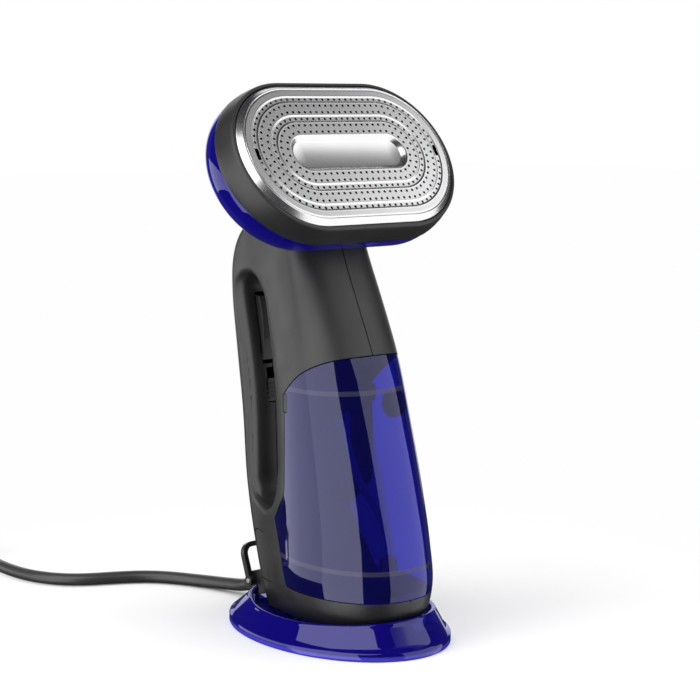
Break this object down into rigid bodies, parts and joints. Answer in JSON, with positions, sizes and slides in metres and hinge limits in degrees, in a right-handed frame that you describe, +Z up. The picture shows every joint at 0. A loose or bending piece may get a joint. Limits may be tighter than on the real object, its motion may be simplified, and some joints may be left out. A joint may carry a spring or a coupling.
{
  "type": "handheld garment steamer",
  "caption": "Upright handheld garment steamer with a tilted oval steam head, loop grip, removable tinted water tank, drip stand and power cord.",
  "frame": {"origin": "centre of the stand's underside, on the floor", "axes": "+Z up; the steam plate faces -Y; the grip and the cord are at +Y; X runs across the head"},
  "size_m": [0.1763, 0.3979, 0.3158],
  "materials": {
    "tank_blue": "clear tinted, polished",
    "stand_blue": "clear tinted, polished",
    "charcoal": "soft satin",
    "black_plastic": "fine texture",
    "grey_plastic": "fine texture",
    "cord_black": "satin",
    "rubber_black": "matte",
    "seal_red": "silicone",
    "silicone": "silicone",
    "steel": "satin polished",
    "cast": "as cast",
    "tube_clear": "clear",
    "board": "lacquered",
    "wire_red": "smooth",
    "ceramic": "glazed",
    "brass": "turned",
    "lens": "clear"
  },
  "bodies": {
    "stand": {"stand_tray": "stand_blue", "stand_feet": "rubber_black", "plug_body": "cord_black", "plug_blades": "brass"},
    "steamer": {"housing_left": "charcoal", "housing_right": "charcoal", "housing_screws": "steel", "base_pan": "black_plastic", "base_screws": "steel", "side_covers": "charcoal", "bezel": "charcoal", "head_cover": "tank_blue", "plate_gasket": "silicone", "steam_plate": "steel", "boiler": "cast", "heater_tube": "steel", "boiler_lid": "cast", "boiler_screws": "steel", "thermostat": "black_plastic", "thermal_fuse": "ceramic", "pump": "black_plastic", "pump_mounts": "rubber_black", "suction_tube": "tube_clear", "feed_tube": "tube_clear", "tank_socket": "black_plastic", "socket_seal": "seal_red", "control_board": "board", "board_parts": "black_plastic", "wire_harness": "wire_red", "trigger_switch": "black_plastic", "control_panel": "black_plastic", "indicator_lens": "lens", "trigger_pin": "steel", "trigger_spring": "steel", "cord_collar": "black_plastic", "loop_pins": "steel", "cord_bushing": "rubber_black", "cord_clamp": "steel", "power_cord": "cord_black"},
    "trigger": {"trigger": "charcoal"},
    "lock_slider": {"lock_slider": "black_plastic"},
    "power_button": {"power_button": "charcoal"},
    "mode_button": {"mode_button": "charcoal"},
    "latch_left": {"latch_left": "black_plastic"},
    "latch_right": {"latch_right": "black_plastic"},
    "tank": {"tank": "tank_blue", "tank_spigot": "tank_blue", "pickup_hose": "tube_clear", "hose_weight": "brass", "fill_neck": "tank_blue"},
    "fill_plug": {"fill_plug": "rubber_black"},
    "hang_loop": {"hang_loop": "black_plastic"}
  },
  "joints": [
    {"name": "lift", "type": "slide", "parent": "stand", "child": "steamer", "axis": [0, 0, 1], "range_m": [0, 0.1]},
    {"name": "trigger_swing", "type": "hinge", "parent": "steamer", "child": "trigger", "pos_m": [0, 0.0718, 0.1864], "axis": [1, 0, 0], "range_deg": [0, 4]},
    {"name": "lock_slide", "type": "slide", "parent": "steamer", "child": "lock_slider", "axis": [0, 0, 1], "range_m": [0, 0.006]},
    {"name": "power_press", "type": "slide", "parent": "steamer", "child": "power_button", "axis": [0, -0.6508, -0.7593], "range_m": [0, 0.0013]},
    {"name": "mode_press", "type": "slide", "parent": "steamer", "child": "mode_button", "axis": [0, -0.6508, -0.7593], "range_m": [0, 0.0013]},
    {"name": "tank_release", "type": "slide", "parent": "steamer", "child": "tank", "axis": [0, -1, 0], "range_m": [0, 0.09]},
    {"name": "latch_left_press", "type": "slide", "parent": "tank", "child": "latch_left", "axis": [1, 0, 0], "range_m": [0, 0.0015]},
    {"name": "latch_right_press", "type": "slide", "parent": "tank", "child": "latch_right", "axis": [-1, 0, 0], "range_m": [0, 0.0015]},
    {"name": "plug_pull", "type": "slide", "parent": "tank", "child": "fill_plug", "axis": [1, 0, 0], "range_m": [0, 0.03]},
    {"name": "loop_swing", "type": "hinge", "parent": "steamer", "child": "hang_loop", "pos_m": [0, 0.0683, 0.0162], "axis": [1, 0, 0], "range_deg": [-60, 0]}
  ]
}
